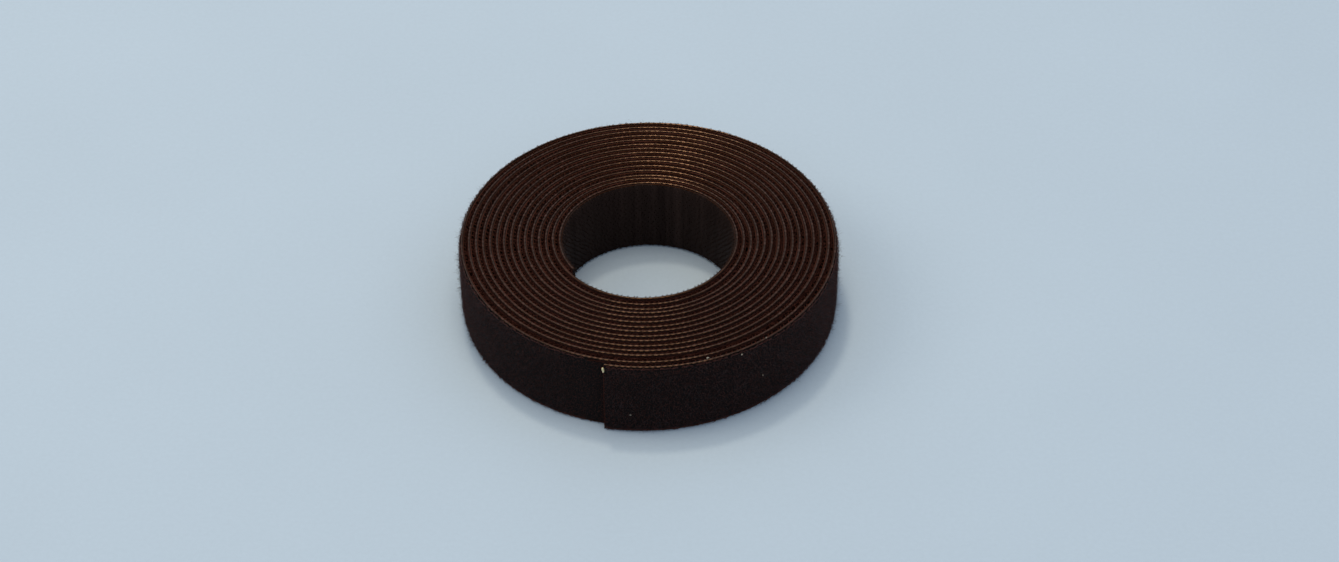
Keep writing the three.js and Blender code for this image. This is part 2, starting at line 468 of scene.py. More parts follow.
def pile_shape(winding, start, end, rng):
    """The loops of the pile: half ellipses on a jittered grid with their feet in the matted ground,
    each turned about its own upright and leaning a little, taller where no turn covers them."""
    tape = winding.tape
    first, last = winding.run_at((start, end))
    low, high = tape.pile_margin + 0.0001, tape.width - tape.pile_margin - 0.0001
    columns = round((last - first) / tape.loop_pitch)
    rows = round((high - low) / tape.loop_pitch)
    column, row = np.meshgrid(np.arange(columns) + 0.5, np.arange(rows) + 0.5, indexing="ij")
    count = column.size
    jitter = rng.uniform(-0.45, 0.45, (2, count, 1))
    run = first + (last - first) / columns * (column.reshape(-1, 1) + jitter[0])
    height = low + (high - low) / rows * (row.reshape(-1, 1) + jitter[1])
    heading = rng.uniform(0, TURN, (count, 1))
    reach = tape.loop_pitch * rng.uniform(0.4, 0.75, (count, 1))
    bare_to = (0.96, 0.99)
    free = 1 - smoothstep(winding.wound_at(run), *bare_to)
    fluff = free * tape.fluff * rng.beta(2, 3, (count, 1)) * 1.8
    lean = rng.normal(0, 0.00016, (2, count, 1))
    radii = rng.uniform(0.00002, 0.00003, (count, 1))
    middle = (run, tape.pile_ground - 0.00004, height)
    half_span = (reach * np.cos(heading), 0, reach * np.sin(heading))
    peak = (lean[0], tape.pile_outer - tape.pile_ground + fluff, lean[1])
    return arches(winding, middle, half_span, peak, radii)


def edge_loops_shape(winding, start, end, upper, spacing, lean, rng):
    """The loops that show between the turns: half ellipses gathered at the stitches, which rise
    from the edge of the pile and lean out over the gap by up to the given lean, and further where
    the turn outside stands off."""
    tape = winding.tape
    first, last = winding.run_at((start, end))
    count = round((last - first) / spacing)
    run = np.linspace(first, last, count)[:, None] + rng.normal(0, 0.0002, (count, 1))
    run = run - 0.75 * tape.stitch / TURN * np.sin(TURN * run / tape.stitch)
    run = np.clip(run, first + 0.0008, last - 0.0008)
    low, high = tape.cloth_outer + 0.00005, tape.pile_ground - 0.00003
    foot = rng.uniform(low, high, (count, 1))
    reach = rng.uniform(0.00025, 0.0005, (count, 1))
    rise = rng.uniform(0.0002, 0.00075, (count, 1))
    wound = winding.wound_at(run)
    apart = winding.stand_off(wound - 1, tape.width) - winding.stand_off(wound, tape.width)
    most = lean + np.where(wound > 1, np.maximum(apart, 0), 0)
    out = rng.uniform(0, 1, (count, 1)) * most
    from_edge = tape.pile_margin + 0.00008
    height, up = (tape.width - from_edge, rise) if upper else (from_edge, -rise)
    radii = rng.uniform(0.00004, 0.00007, (count, 1))
    return arches(winding, (run, foot, height), (reach, 0, 0), (0, out, up), radii)


def outer_pile_shape(winding, start, end, rng):
    """The pile of the outermost turn: the loops of its face, and of its edges where it is bare."""
    rim = (min(start, COVERED_FROM), min(end, COVERED_FROM))
    loops = [pile_shape(winding, start, end, rng)]
    for upper in EDGES.values():
        loops.append(edge_loops_shape(winding, *rim, upper, RIM_SPACING, RIM_LEAN, rng))
    return joined(loops)


def hooks_shape(winding, start, end, heights, sides, rng):
    """Moulded hooks: a stem that rises inwards from the film and bends over to its tip along the
    strip, one way in one row and the other way in the next. A tapered tube along that bend."""
    tape = winding.tape
    first, last = winding.run_at((start, end))
    columns = max(1, round((last - first) / tape.hook_pitch))
    run = first + (last - first) * (np.arange(columns) + 0.5) / columns
    run, height = (a.reshape(-1, 1) for a in np.meshgrid(run, heights, indexing="ij"))
    row = np.tile(np.arange(len(heights)), columns)[:, None]
    run = run + tape.hook_pitch * (0.25 - 0.5 * (row % 2)) + rng.normal(0, 0.0002, run.shape)
    side = np.where(row % 2 == 0, 1, -1) * rng.uniform(0.85, 1.1, run.shape)
    rise = HOOK_RISE * rng.uniform(0.94, 1.03, run.shape)
    paths, strip = winding.place(run + side * HOOK_SIDE, -rise, height)
    return tubes(paths, strip, HOOK_RADIUS, sides, np.array([0, 0, 1.0]))


def hook_rows(tape):
    """The heights of the rows of hooks, evenly spread from edge to edge."""
    margin = tape.film_setback + 0.0001
    rows = round((tape.width - 2 * margin) / tape.hook_row) + 1
    return np.linspace(margin, tape.width - margin, rows)


def fibres_shape(winding, root, heading, rng, reach, radius):
    """Stray fibres: each leaves its root along its heading, both as (run, offset, height), and
    bends off with the square of its length, but not below the floor. reach is the range of
    lengths."""
    root, heading = (np.stack(vectors, axis=-1)[:, None] for vectors in (root, heading))
    reach = rng.uniform(*reach, (len(root), 1, 1))
    bend = rng.normal(0, 0.35, (len(root), 1, 3)) * reach
    t = np.linspace(0, 1, 4)[None, :, None]
    run, offset, height = np.moveaxis(root + unit(heading) * reach * t + bend * t * t, -1, 0)
    paths, strip = winding.place(run, offset, np.maximum(height, 2 * radius))
    hint = rng.normal(0, 1, (len(root), 1, 3))
    return tubes(paths, strip, radius * np.array([1, 0.9, 0.75, 0.4]), 3, hint)


def nap_shape(winding, start, end, rng):
    """Broken loops that stand out of the pile: stray fibres at random over its face."""
    tape = winding.tape
    first, last = winding.run_at((start, end))
    spacing = 0.0007
    count = round((last - first) * tape.width / spacing**2)
    heading = rng.normal(0, 0.6, count), rng.uniform(0.4, 1, count), rng.normal(0, 0.5, count)
    root = (
        rng.uniform(first + 0.0005, last - 0.0005, count),
        np.full(count, tape.pile_ground),
        rng.uniform(0.0006, tape.width - 0.0006, count),
    )
    return fibres_shape(winding, root, heading, rng, reach=(0.0006, 0.0014), radius=0.000022)


def stray_shape(winding, start, end, count, upper, rng):
    """Loose ends of the edge yarn: stray fibres at random along one edge, nearly level below."""
    tape = winding.tape
    rise = rng.uniform(0.1, 0.9, count) * (1 if upper else 0.2)
    heading = rng.normal(0, 1, count), rng.normal(0.2, 0.7, count), rise
    from_edge = rng.uniform(0.0003, 0.0008, count)
    root = (
        rng.uniform(*winding.run_at((start, end)), count),
        rng.uniform(tape.cloth_inner, tape.pile_ground, count),
        tape.width - from_edge if upper else from_edge,
    )
    return fibres_shape(winding, root, heading, rng, reach=STRAY_LENGTH, radius=0.00002)


def fray_shape(winding, rng):
    """Yarn ends at the cut: stray fibres that point away along the strip."""
    tape, count = winding.tape, FRAY_COUNT
    heading = -rng.uniform(0.5, 1.2, count), rng.normal(0.4, 0.5, count), rng.normal(0, 0.4, count)
    root = (
        np.full(count, winding.size.cut + 0.00005),
        rng.uniform(tape.cloth_inner, tape.pile_ground, count),
        rng.uniform(0.0004, tape.width - 0.0004, count),
    )
    return fibres_shape(winding, root, heading, rng, reach=STRAY_LENGTH, radius=0.000028)


def cut_shape(winding):
    """The fused cut: a tube from edge to edge over the end of the cloth. Its path and its radius
    waver with sin(23 turns) + 0.6 sin(41 turns)."""
    tape = winding.tape
    t = np.linspace(0, 1, 90)[None]
    wave = np.sin(TURN * t * 23) + 0.6 * np.sin(TURN * t * 41 + 1)
    waver, inset, radius = 0.00003, 0.0002, 0.0001
    run = winding.size.cut + waver * (wave - 1)
    height = inset + (tape.width - 2 * inset) * t
    paths, strip = winding.place(run, tape.cloth_outer + 0.00022, height)
    return tubes(paths, strip, radius * (1 + 0.2 * wave), 6, np.array([1.0, 0.2, 1.0]))


def bead_shape(winding):
    """The bead of glue: a short fat tube up the cut's upper corner, fuller towards its top. Its
    radius follows the root of a sine."""
    tape = winding.tape
    t = np.linspace(0, 1, 12)[None]
    below, long, radius = 0.0019, 0.0014, 0.00033
    height = tape.width - below + long * t
    run = winding.size.cut - 0.0001 + 0.00008 * np.sin(TURN * t)
    paths, strip = winding.place(run, tape.pile_outer + 0.00012 + 0.00006 * np.cos(5 * t), height)
    radii = radius * np.sqrt(np.sin(math.pi * (0.06 + 0.9 * t))) * (0.75 + 0.3 * t)
    return tubes(paths, strip, radii, 10, np.array([1.0, 0.1, 0]))


def lint_shape(winding, places, rng):
    """Flecks of lint: each a thick fibre curled into most of a circle on top of the pile."""
    wound, offset, height, size = np.array(places).T[:, :, None]
    turn = np.linspace(0, 0.8 * TURN, 6) + rng.uniform(0, TURN, wound.shape)
    run = winding.run_at(wound) + size * np.cos(turn)
    offset = offset + 0.4 * size * np.sin(2 * turn)
    paths, strip = winding.place(run, offset, height + size * np.sin(turn))
    radial = unit(paths[:, :1] * np.array([1.0, 1.0, 0.0]))
    return tubes(paths, strip, 0.4 * size, 4, radial)


def dimmed(tone, level):
    """A colour at a share of its level."""
    return tuple(level * part for part in tone)


class Finish:
    """A procedural material that is put together node by node."""

    def __init__(self, name, **sockets):
        self.material = bpy.data.materials.new(name)
        self.material.use_nodes = True
        self.tree = self.material.node_tree
        self.shader = self.tree.nodes["Principled BSDF"]
        for socket, value in sockets.items():
            self.shader.inputs[socket.replace("_", " ")].default_value = value

    def node(self, kind, inputs=None, **settings):
        """A node with its settings, and its inputs set or linked."""
        node = self.tree.nodes.new(kind)
        for key, value in settings.items():
            setattr(node, key, value)
        for key, value in (inputs or {}).items():
            if isinstance(value, bpy.types.NodeSocket):
                self.tree.links.new(value, node.inputs[key])
            else:
                node.inputs[key].default_value = value
        return node

    def shade(self, socket, value):
        """Links a value to the shader."""
        self.tree.links.new(value, self.shader.inputs[socket])

    def scaled(self, place, scale):
        """Coordinates times a scale: one number, or one for each axis."""
        scale = scale * 3 if len(scale) == 1 else scale
        return self.node("ShaderNodeMapping", {"Vector": place, "Scale": scale}).outputs["Vector"]

    def strip(self, *scale):
        """Coordinates along, through and across the strip, scaled."""
        place = self.node("ShaderNodeAttribute", attribute_name="strip").outputs["Vector"]
        return self.scaled(place, scale)

    def room(self, *scale):
        """Object coordinates, scaled."""
        return self.scaled(self.node("ShaderNodeTexCoord").outputs["Object"], scale)

    def place(self):
        """The run, the offset and the height on the strip, each as a value of its own."""
        return self.node("ShaderNodeSeparateXYZ", {"Vector": self.strip(1)}).outputs[:3]

    def noise(self, place, detail=2.0, roughness=0.5):
        """Noise at one cell to a unit of the coordinates."""
        settings = {"Vector": place, "Scale": 1.0, "Detail": detail, "Roughness": roughness}
        return self.node("ShaderNodeTexNoise", settings).outputs["Fac"]

    def wave(self, place, period, distortion, axis):
        """Even bands along an axis, one to a period, their edges a little ragged."""
        scale = TURN / WAVE_RADIANS / period
        settings = {"Vector": place, "Scale": scale, "Distortion": distortion, "Detail": 1.0}
        return self.node("ShaderNodeTexWave", settings, bands_direction=axis).outputs["Fac"]

    def spread(self, value, low, high, to_low=0.0, to_high=1.0):
        """The value's range from low to high, brought to another range."""
        names = ("From Min", "From Max", "To Min", "To Max")
        settings = {"Value": value, **dict(zip(names, (low, high, to_low, to_high)))}
        return self.node("ShaderNodeMapRange", settings).outputs["Result"]

    def within(self, value, low, high, fade, level=1.0):
        """A level between two values, fading to 0 outside them."""
        above = self.spread(value, low - fade, low, 0, level)
        return self.maths("MULTIPLY", above, self.spread(value, high, high + fade, 1, 0))

    def mix(self, factor, first, second):
        """One colour over another by a factor. Colours are sockets or plain triples."""
        tones = [
            tone if isinstance(tone, bpy.types.NodeSocket) else (*tone, 1)
            for tone in (first, second)
        ]
        inputs = {0: factor, 6: tones[0], 7: tones[1]}
        return self.node("ShaderNodeMix", inputs, data_type="RGBA").outputs[2]

    def maths(self, operation, first, second):
        """A sum, product or the like of two values."""
        node = self.node("ShaderNodeMath", {0: first, 1: second}, operation=operation)
        return node.outputs["Value"]

    def bump(self, height, distance, strength=1.0):
        """Fine relief of a depth given in metres."""
        settings = {"Height": height, "Distance": distance, "Strength": strength}
        self.shade("Normal", self.node("ShaderNodeBump", settings).outputs["Normal"])

    def mottled(self, tone, dark, noise, depth, low=0.0, high=1.0):
        """A colour that noise dims down to a share of it, with relief from the same noise."""
        self.shade("Base Color", self.mix(self.spread(noise, low, high), dimmed(tone, dark), tone))
        self.bump(noise, depth)
        return self.material


def near_edge(made, winding, start, end):
    """1 by either edge of the strip, between two numbers of turns, and 0 away from there."""
    run, _, height = made.place()
    half, reach, fade = winding.tape.width / 2, 0.0005, 0.002
    from_middle = made.maths("ABSOLUTE", made.maths("SUBTRACT", height, half), 0.0)
    edge = made.spread(from_middle, half - 2 * reach, half - reach)
    first, last = winding.run_at((start, end))
    return made.maths("MULTIPLY", edge, made.within(run, first, last, fade))


def edge_yarn(scene):
    """Nylon yarn of the woven edge: filaments along the strip, stitches of different wear, painted
    shade in the dips between the stitches and painted light on their crests, and a coppery gloss
    that is duller between the stitches, above all on the side away from the axis. On one stretch
    of the innermost turn its colour is darkened with painted shade."""
    tape, colours = scene.tape_sizes, scene.finish_colours
    made = Finish("edge_yarn", Specular_IOR_Level=0.21, Specular_Tint=(2.3, 1.32, 0.75, 1))
    filament = made.noise(made.strip(900, 14000, 14000), 3)
    stitch = made.wave(made.strip(1, 0, 0), tape.stitch, 0.9, "X")
    wear = made.spread(made.noise(made.strip(480, 200, 200), 3), 0.36, 0.62)
    # Painted shade in the dips between the stitches and painted light on their crests, from the
    # stitch wave; the noise gives real wear
    tone = made.mix(made.maths("MULTIPLY", stitch, wear), colours.edge, colours.edge_worn_and_lit)
    tone = made.mix(made.spread(filament, 0.25, 0.55), dimmed(colours.edge, 0.5), tone)
    run, offset, _ = made.place()
    # Painted shade: one stretch of the innermost turn's edge is darkened towards the film edge's
    # colour
    first, last = Winding(scene).run_at(INNER_RIM)
    painted_rim_shade = made.within(run, first, last, 0.008, 0.85)
    made.shade("Base Color", made.mix(painted_rim_shade, tone, colours.lip))
    middle = (tape.cloth_inner + tape.cloth_outer) / 2
    ridge = (middle - 0.00003, middle + 0.00003)
    between = made.spread(stitch, 0.1, 0.6, 1, 0)
    dull = made.maths("MULTIPLY", made.spread(offset, *ridge, 0.09, 0.3), between)
    made.shade("Roughness", made.maths("ADD", made.spread(offset, *ridge, 0.25, 0.26), dull))
    made.bump(filament, 0.00001)
    return made.material


def film_lip(scene):
    """Slit edge of the film: satin plastic with a faint coppery gloss and marks of the blade."""
    tone = scene.finish_colours.lip
    made = Finish("film_lip", Specular_IOR_Level=0.08, Specular_Tint=(1.6, 0.6, 0.25, 1))
    mark = made.noise(made.strip(1500, 9000, 9000), 2)
    patch = made.spread(made.noise(made.strip(130, 300, 300), 3), 0.3, 0.7)
    made.shade("Base Color", made.mix(patch, dimmed(tone, 0.6), tone))
    made.shade("Roughness", made.spread(mark, 0.3, 0.7, 0.26, 0.4))
    made.bump(mark, 0.00001)
    return made.material


def ground_cloth(scene):
    """Woven ground: warp and weft as crossed waves, with painted shade in the gaps between the
    yarns. Along its edges, where another turn lies over it, it is brown with painted warm light
    from between the turns."""
    winding, colours = Winding(scene), scene.finish_colours
    made = Finish("ground_cloth", Roughness=0.85, Specular_IOR_Level=0.15)
    warp, weft = (made.wave(made.strip(1), YARN_PITCH, 0.6, axis) for axis in "XZ")
    weave = made.maths("MULTIPLY", warp, weft)
    # Painted shade in the gaps between the yarns, where the weave is low
    tone = made.mix(weave, dimmed(colours.cloth, 0.45), colours.cloth)
    # Painted warm light from between the turns, near the edges of the covered turns
    covered_warm_light = near_edge(made, winding, 1, winding.size.turns + SPARE_TURNS)
    made.shade("Base Color", made.mix(covered_warm_light, tone, dimmed(colours.pile_edge_warm_light, 0.5)))
    made.bump(weave, 0.00006)
    return made.material


def loop_pile(scene):
    """Napped loops: dull nylon, a little lighter at some tips."""
    colours = scene.finish_colours
    made = Finish(
        "loop_pile",
        Roughness=0.8,
        Specular_IOR_Level=0.05,
        Sheen_Weight=0.08,
        Sheen_Roughness=0.5,
        Sheen_Tint=(1.0, 0.82, 0.85, 1),
    )
    tuft = made.spread(made.noise(made.strip(900), 2), 0.4, 0.75)
    patch = made.spread(made.noise(made.strip(130), 3), 0.3, 0.7)
    light = made.maths("MULTIPLY", tuft, patch)
    made.shade("Base Color", made.mix(light, colours.pile, colours.pile_tip))
    made.bump(made.noise(made.strip(9000), 2), 0.00003)
    return made.material


def hook_moulding(scene):
    """Moulded plastic: dull, with faint streaks across the strip from the mould. Near its edges,
    outside the turn that lines the bore, it is browner with painted warm light from between the
    turns."""
    winding, colours = Winding(scene), scene.finish_colours
    made = Finish("hook_moulding", Specular_IOR_Level=0.05, Specular_Tint=(1.0, 0.75, 0.62, 1))
    streak = made.noise(made.strip(300, 0, 8), 4, 0.65)
    broad = made.spread(made.noise(made.strip(60, 0, 4), 2), 0.35, 0.65)
    marks = made.maths("MULTIPLY", made.spread(streak, 0.42, 0.7), broad)
    face = made.mix(marks, colours.plastic, dimmed(colours.plastic, 2.6))
    # Painted warm light near the edges of every turn but the one that lines the bore
    outer = near_edge(made, winding, -SPARE_TURNS, winding.size.turns - 1)
    made.shade("Base Color", made.mix(outer, face, colours.plastic_edge_warm_light))
    made.shade("Roughness", made.spread(streak, 0.3, 0.75, 0.6, 0.45))
    made.bump(streak, 0.00002)
    return made.material


def nap_fibre(scene):
    """Broken loops: single glossy filaments, mottled, their grey a painted reflection of the sky.
    """
    made = Finish("nap_fibre", Roughness=0.5, Specular_IOR_Level=0.2)
    noise = made.noise(made.strip(3000), 2)
    return made.mottled(scene.finish_colours.nap, 0.7, noise, 0.00001)


def gap_pile(scene):
    """The loops that show between the turns: the same nylon, matted, in a redder brown that is
    painted warm light from between the turns.
    """
    made = Finish("gap_pile", Roughness=0.9, Specular_IOR_Level=0.02)
    noise = made.noise(made.strip(700, 2000, 2000), 3)
    # The gap colour is painted warm light bounced between the turns; the noise mottles it at random
    return made.mottled(scene.finish_colours.pile_edge_warm_light, 0.5, noise, 0.00003, 0.3, 0.7)


def bond_film(scene):
    """The bond line: set adhesive, amber brown with cloudy patches."""
    made = Finish("bond_film", Roughness=0.4, Specular_IOR_Level=0.4)
    noise = made.noise(made.strip(500), 3)
    return made.mottled(scene.finish_colours.bond, 0.6, noise, 0.00003)


def glue_bead(scene):
    """Set adhesive squeezed out at the cut: cream, waxy, a little uneven."""
    made = Finish("glue_bead", Roughness=0.35, Subsurface_Weight=0.25, Subsurface_Scale=0.0004)
    noise = made.noise(made.room(2600), 3)
    return made.mottled(scene.finish_colours.glue, 0.55, noise, 0.00005)


def pale_lint(scene):
    """Lint: pale cotton fibres, mottled along their length."""
    made = Finish("pale_lint", Roughness=0.9, Sheen_Weight=0.3)
    noise = made.noise(made.room(6000), 2)
    return made.mottled(scene.finish_colours.lint, 0.5, noise, 0.00002)


def floor_paper(scene):
    """Pale paper: faint cloudiness and a fine tooth."""
    tone = scene.stage_sizes.floor
    made = Finish("floor_paper", Roughness=0.9, Specular_IOR_Level=0.2)
    tooth = made.noise(made.room(900), 3)
    cloud = made.maths("MULTIPLY", made.noise(made.room(16), 3), 0.45)
    both = made.spread(made.maths("ADD", made.maths("MULTIPLY", tooth, 0.55), cloud), 0.3, 0.7)
    made.shade("Base Color", made.mix(both, dimmed(tone, 0.95), tone))
    made.bump(tooth, 0.0001, 0.3)
    return made.material


# Each finish of the tape, by name: what makes it, and the slot that its pieces belong to
FINISHES = {
    "edge_yarn": (edge_yarn, "loop_cloth"),
    "ground_cloth": (ground_cloth, "loop_cloth"),
    "loop_pile": (loop_pile, "loop_cloth"),
    "nap_fibre": (nap_fibre, "loop_cloth"),
    "gap_pile": (gap_pile, "loop_cloth"),
    "pale_lint": (pale_lint, "loop_cloth"),
    "film_lip": (film_lip, "hook_plastic"),
    "hook_moulding": (hook_moulding, "hook_plastic"),
    "bond_film": (bond_film, "bond_adhesive"),
    "glue_bead": (glue_bead, "bond_adhesive"),
}


def piece(scene, name, shape, finish, crease=None):
    """A mesh object at the origin from a shape, its strip places as an attribute, in a finish that
    is made once."""
    sizes = np.concatenate([np.full(len(face), face.shape[1]) for face in shape.faces])
    corners = np.concatenate([face.ravel() for face in shape.faces]).astype(np.int32)
    starts = (np.cumsum(sizes) - sizes).astype(np.int32)
    mesh = bpy.data.meshes.new(name)
    mesh.vertices.add(len(shape.points))
    mesh.loops.add(len(corners))
    mesh.polygons.add(len(sizes))
    mesh.vertices.foreach_set("co", shape.points.astype(np.float32).ravel())
    mesh.loops.foreach_set("vertex_index", corners)
    mesh.polygons.foreach_set("loop_start", starts)
    mesh.polygons.foreach_set("use_smooth", np.ones(len(sizes), bool))
    mesh.update(calc_edges=True)
    strip = mesh.attributes.new("strip", "FLOAT_VECTOR", "POINT")
    strip.data.foreach_set("vector", shape.strip.astype(np.float32).ravel())
    if crease is not None:
        mesh.set_sharp_from_angle(angle=math.radians(crease))
    maker, slot = FINISHES[finish]
    mesh.materials.append(bpy.data.materials.get(finish) or maker(scene))
    made = bpy.data.objects.new(name, mesh)
    scene.collection.objects.link(made)
    return made


def riding(scene, name, shape, finish, crease=None, node=None, body="roll"):
    """A piece that moves with one body, and stands for a CAD node where one is named."""
    made = piece(scene, name, shape, finish, crease)
    if node:
        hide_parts(node)
    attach(made, body)
    return made


def at_hand(context, step=0):
    """What a step works with: the scene, its winding, and random numbers of the step's own."""
    scene = context.scene
    return scene, Winding(scene), np.random.default_rng(scene.stage_sizes.seed + step)


class TAPEROLL_OT_cloth(bpy.types.Operator):
    """Winds the ground cloth and the matted roots of its pile"""

    bl_idname = "tape_roll.cloth"
    bl_label = "Wind the loop cloth"

    def execute(self, context):
        scene, winding, _ = at_hand(context)
        start, end = winding.rolled
        shape = layer_shape(winding, "cloth", start, end)
        cloth = riding(scene, "roll_cloth", shape, "ground_cloth", FLAT_CREASE, "roll_loop_tape")
        outer = layer_shape(winding, "pile_ground", start, start + 1)
        riding(scene, "roll_pile_ground", outer, "ground_cloth", FLAT_CREASE)
        inner = layer_shape(winding, "pile_ground", start + 1, end)
        riding(scene, "roll_inner_pile_ground", inner, "gap_pile", FLAT_CREASE)
        run = float(winding.run_at(end) - winding.run_at(start))
        return {"FINISHED"}


class TAPEROLL_OT_films(bpy.types.Operator):
    """Winds the bond film and the hook film"""

    bl_idname = "tape_roll.films"
    bl_label = "Wind the films"

    def execute(self, context):
        scene, winding, _ = at_hand(context)
        bond = layer_shape(winding, "bond", *winding.rolled)
        riding(scene, "roll_bond", bond, "bond_film", FLAT_CREASE, "roll_bond_film")
        film = layer_shape(winding, "film", *winding.rolled)
        riding(scene, "roll_hook_film", film, "hook_moulding", FLAT_CREASE, "roll_hook_tape")
        return {"FINISHED"}


class TAPEROLL_OT_edges(bpy.types.Operator):
    """Lays the woven edges along the cloth and the slit edges along the film"""

    bl_idname = "tape_roll.edges"
    bl_label = "Lay the edges"

    def execute(self, context):
        scene, winding, rng = at_hand(context, 5)
        for side, upper in EDGES.items():
            cord = edge_cord_shape(winding, *winding.rolled, upper, rng)
            riding(scene, f"roll_edge_{side}", cord, "edge_yarn", CORD_CREASE)
            lip = lip_shape(winding, *winding.rolled, upper)
            riding(scene, f"roll_lip_{side}", lip, "film_lip")
        return {"FINISHED"}


class TAPEROLL_OT_pile(bpy.types.Operator):
    """Raises the loops on the outermost turn and along the edges between the turns"""

    bl_idname = "tape_roll.pile"
    bl_label = "Raise the pile"

    def execute(self, context):
        scene, winding, rng = at_hand(context)
        start, end = winding.rolled
        bounds = np.linspace(start, start + 1, 4)
        for i in range(3):
            loops = outer_pile_shape(winding, *bounds[i : i + 2], rng)
            riding(scene, f"roll_pile_{i + 1}", loops, "loop_pile")
        for side, upper in EDGES.items():
            edge = (upper, GAP_SPACING[side])
            outer = [
                edge_loops_shape(winding, start + 1, GAP_SPLIT, *edge, GAP_LEAN, rng),
                edge_loops_shape(winding, COVERED_FROM, start + 1, *edge, FIRST_GAP_LEAN, rng),
            ]
            riding(scene, f"roll_edge_loops_{side}_1", joined(outer), "gap_pile")
            inner = edge_loops_shape(winding, GAP_SPLIT, end, *edge, GAP_LEAN, rng)
            riding(scene, f"roll_edge_loops_{side}_2", inner, "gap_pile")
        return {"FINISHED"}


class TAPEROLL_OT_hooks(bpy.types.Operator):
    """Moulds the hooks that line the bore and those that show between the turns"""

    bl_idname = "tape_roll.hooks"
    bl_label = "Mould the hooks"

    def execute(self, context):
        scene, winding, rng = at_hand(context, 1)
        start, end = winding.rolled
        rows = hook_rows(winding.tape)
        lining = hooks_shape(winding, end - 1, end, rows, 4, rng)
        riding(scene, "bore_hooks", lining, "hook_moulding")
        for side, upper in EDGES.items():
            row = rows[-1:] if upper else rows[:1]
            shown = hooks_shape(winding, start, end - 1, row, 3, rng)
            riding(scene, f"roll_edge_hooks_{side}", shown, "hook_moulding")
        return {"FINISHED"}


class TAPEROLL_OT_tail(bpy.types.Operator):
    """Makes the tail, hinge by hinge, one length at a time"""

    bl_idname = "tape_roll.tail"
    bl_label = "Make the tail"

    def execute(self, context):
        scene, winding, rng = at_hand(context, 2)
        tape = winding.tape
        links = len(HINGES)
        for link in range(1, links + 1):
            root = (links - link + 1.5) / LINKS_PER_TURN
            far = (links - link + 0.5) / LINKS_PER_TURN
            end = float(winding.wound_at(winding.size.cut)) if link == links else far
            middle = (tape.cloth_inner, tape.width / 2)
            bend = [tuple(map(float, winding.point(np.array(w), *middle))) for w in (root, far)]
            stretch = (winding, end, root)
            cloth, ground, bond, film = (
                layer_shape(winding, layer, end, root)
                for layer in ("cloth", "pile_ground", "bond", "film")
            )
            edges = joined([edge_cord_shape(*stretch, upper, rng) for upper in EDGES.values()])
            lips = joined([lip_shape(*stretch, upper) for upper in EDGES.values()])
            pile = outer_pile_shape(*stretch, rng)
            hooks = joined([film, hooks_shape(*stretch, hook_rows(tape), 4, rng)])
            made = [
                ("cloth", cloth, "ground_cloth", "loop_tape"),
                ("pile_ground", ground, "ground_cloth", None),
                ("bond", bond, "bond_film", "bond_film"),
                ("hooks", hooks, "hook_moulding", "hook_tape"),
                ("edges", edges, "edge_yarn", None),
                ("lips", lips, "film_lip", None),
                ("pile", pile, "loop_pile", None),
                ("nap", nap_shape(*stretch, rng), "nap_fibre", None),
            ]
            flecks = [place for place in LINT if end <= place[0] < root]
            if flecks:
                made.append(("lint", lint_shape(winding, flecks, rng), "pale_lint", None))
            for layer, shape, finish, node in made:
                crease = CORD_CREASE if layer == "edges" else FLAT_CREASE
                part = piece(scene, f"tail_{link}_{layer}", shape, finish, crease)
                if node:
                    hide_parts(f"tail_{link}_{node}")
                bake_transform(part)
                if layer == "cloth":
                    flat = (tape.width, float(winding.run_at(root) - winding.run_at(end)))
        return {"FINISHED"}


class TAPEROLL_OT_cut_end(bpy.types.Operator):
    """Finishes the free end: the fused cut, its frayed fibres and the bead of glue at its corner"""

    bl_idname = "tape_roll.cut_end"
    bl_label = "Finish the cut end"

    def execute(self, context):
        scene, winding, rng = at_hand(context, 3)
        body = f"tail_{len(HINGES)}"
        riding(scene, "tail_cut_edge", cut_shape(winding), "gap_pile", body=body)
        riding(scene, "tail_fray", fray_shape(winding, rng), "gap_pile", body=body)
        riding(scene, "tail_glue_bead", bead_shape(winding), "glue_bead", body=body)
        return {"FINISHED"}


class TAPEROLL_OT_fibres(bpy.types.Operator):
    """Scatters stray fibres along the edges and over the outer face"""

    bl_idname = "tape_roll.fibres"
    bl_label = "Scatter the fibres"

    def execute(self, context):
        scene, winding, rng = at_hand(context, 4)
        for side, upper in EDGES.items():
            fibres = stray_shape(winding, *winding.rolled, STRAY_COUNT[side], upper, rng)
            riding(scene, f"roll_fibres_{side}", fibres, "edge_yarn")
        nap = nap_shape(winding, winding.rolled[0], NAP_END, rng)
        riding(scene, "roll_nap", nap, "nap_fibre")
        return {"FINISHED"}


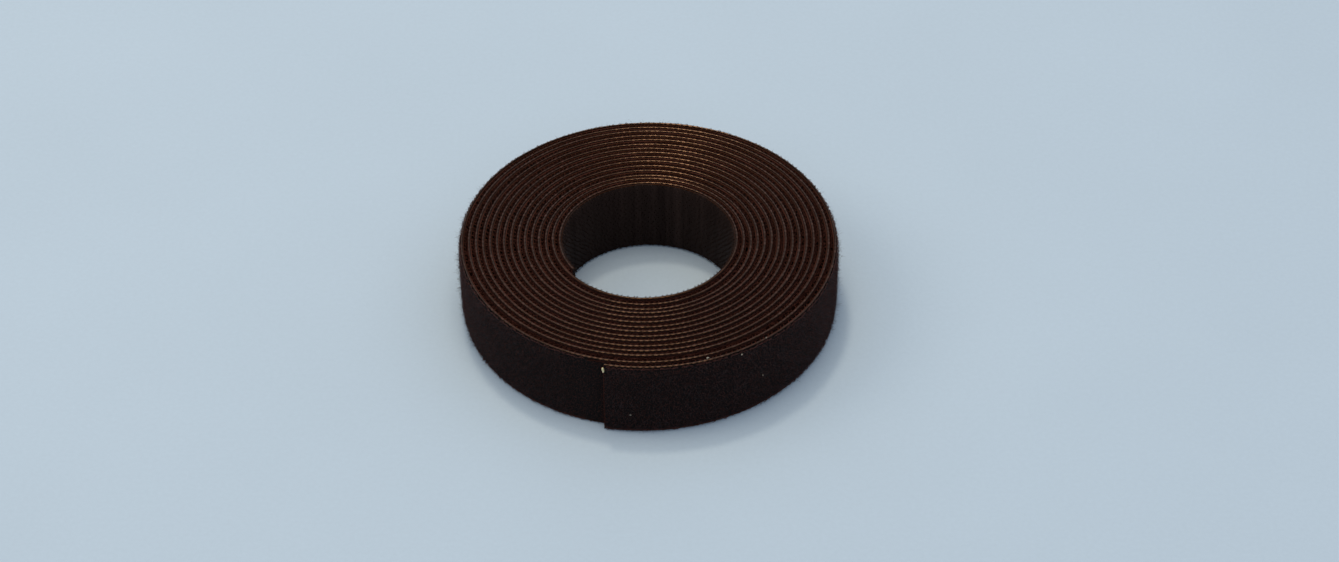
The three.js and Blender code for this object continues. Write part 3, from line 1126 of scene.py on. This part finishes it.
class TAPEROLL_OT_stage(bpy.types.Operator):
    """Sets the floor, the lamps, the sky and the camera"""

    bl_idname = "tape_roll.stage"
    bl_label = "Set the stage"

    def execute(self, context):
        scene = context.scene
        stage = scene.stage_sizes
        mesh = bpy.data.meshes.new("floor")
        signs = ((-1, -1), (1, -1), (1, 1), (-1, 1))
        corners = [(x * FLOOR_REACH, y * FLOOR_REACH, 0) for x, y in signs]
        mesh.from_pydata(corners, [], [(0, 1, 2, 3)])
        mesh.materials.append(floor_paper(scene))
        floor = bpy.data.objects.new("floor", mesh)
        scene.collection.objects.link(floor)

        world = bpy.data.worlds.new("soft_sky")
        world.use_nodes = True
        sky = world.node_tree.nodes["Background"]
        sky.inputs["Color"].default_value = (*stage.sky, 1)
        sky.inputs["Strength"].default_value = stage.sky_level
        scene.world = world

        for name in LAMPS:
            level, azimuth, elevation, size = (
                getattr(stage, f"{name}_{key}") for key in ("level", "azimuth", "elevation", "size")
            )
            flat = math.cos(elevation)
            towards = Vector(
                (flat * math.cos(azimuth), flat * math.sin(azimuth), math.sin(elevation))
            )
            lamp = bpy.data.lights.new(name, "AREA")
            lamp.shape = "DISK"
            lamp.size = size
            lamp.energy = level * math.pi**2 * stage.lamp_distance**2
            lamp.color = LAMP_TINT
            hung = bpy.data.objects.new(name, lamp)
            hung.location = towards * stage.lamp_distance
            hung.rotation_euler = towards.to_track_quat("Z", "Y").to_euler()
            scene.collection.objects.link(hung)

        lens = bpy.data.cameras.new("camera")
        lens.sensor_width = SENSOR_MM
        lens.lens = stage.lens
        lens.clip_start, lens.clip_end = 0.01, 100
        camera = bpy.data.objects.new("camera", lens)
        axis = Vector((*Winding(scene).centre, 0))
        tilt = stage.camera_elevation
        place = axis + stage.camera_distance * Vector((0, -math.cos(tilt), math.sin(tilt)))
        ahead = axis + Vector((stage.aim_right, stage.aim_back, 0)) - place
        turn = ahead.to_track_quat("-Z", "Y") @ Quaternion((0, 0, 1), stage.camera_roll)
        camera.matrix_world = Matrix.LocRotScale(place, turn, None)
        scene.collection.objects.link(camera)
        scene.camera = camera
        scene.view_settings.view_transform = "Standard"
        return {"FINISHED"}


SETTINGS = {
    "tape_sizes": TapeSizes,
    "winding_sizes": WindingSizes,
    "finish_colours": FinishColours,
    "stage_sizes": StageSizes,
}
OPERATORS = (
    TAPEROLL_OT_stage,
    TAPEROLL_OT_cloth,
    TAPEROLL_OT_films,
    TAPEROLL_OT_edges,
    TAPEROLL_OT_pile,
    TAPEROLL_OT_hooks,
    TAPEROLL_OT_tail,
    TAPEROLL_OT_cut_end,
    TAPEROLL_OT_fibres,
)


class TAPEROLL_PT_panel(bpy.types.Panel):
    """Lists the tape roll's settings and its steps"""

    bl_idname = "TAPEROLL_PT_panel"
    bl_label = "Tape roll"
    bl_space_type = "VIEW_3D"
    bl_region_type = "UI"
    bl_category = "Tape roll"

    def draw(self, context):
        for name, group in SETTINGS.items():
            box = self.layout.box()
            for key in group.__annotations__:
                box.prop(getattr(context.scene, name), key)
        for operator in OPERATORS:
            self.layout.operator(operator.bl_idname)


def register():
    """Adds the settings, the steps and the panel."""
    for made in (*SETTINGS.values(), *OPERATORS, TAPEROLL_PT_panel):
        bpy.utils.register_class(made)
    for name, group in SETTINGS.items():
        setattr(bpy.types.Scene, name, PointerProperty(type=group))


def unregister():
    """Takes them away again."""
    for name in SETTINGS:
        delattr(bpy.types.Scene, name)
    for made in (TAPEROLL_PT_panel, *reversed(OPERATORS), *reversed(SETTINGS.values())):
        bpy.utils.unregister_class(made)


def main():
    """Runs every step in order."""
    register()
    for operator in OPERATORS:
        group, name = operator.bl_idname.split(".")
        getattr(getattr(bpy.ops, group), name)()


if __name__ == "__main__":
    main()
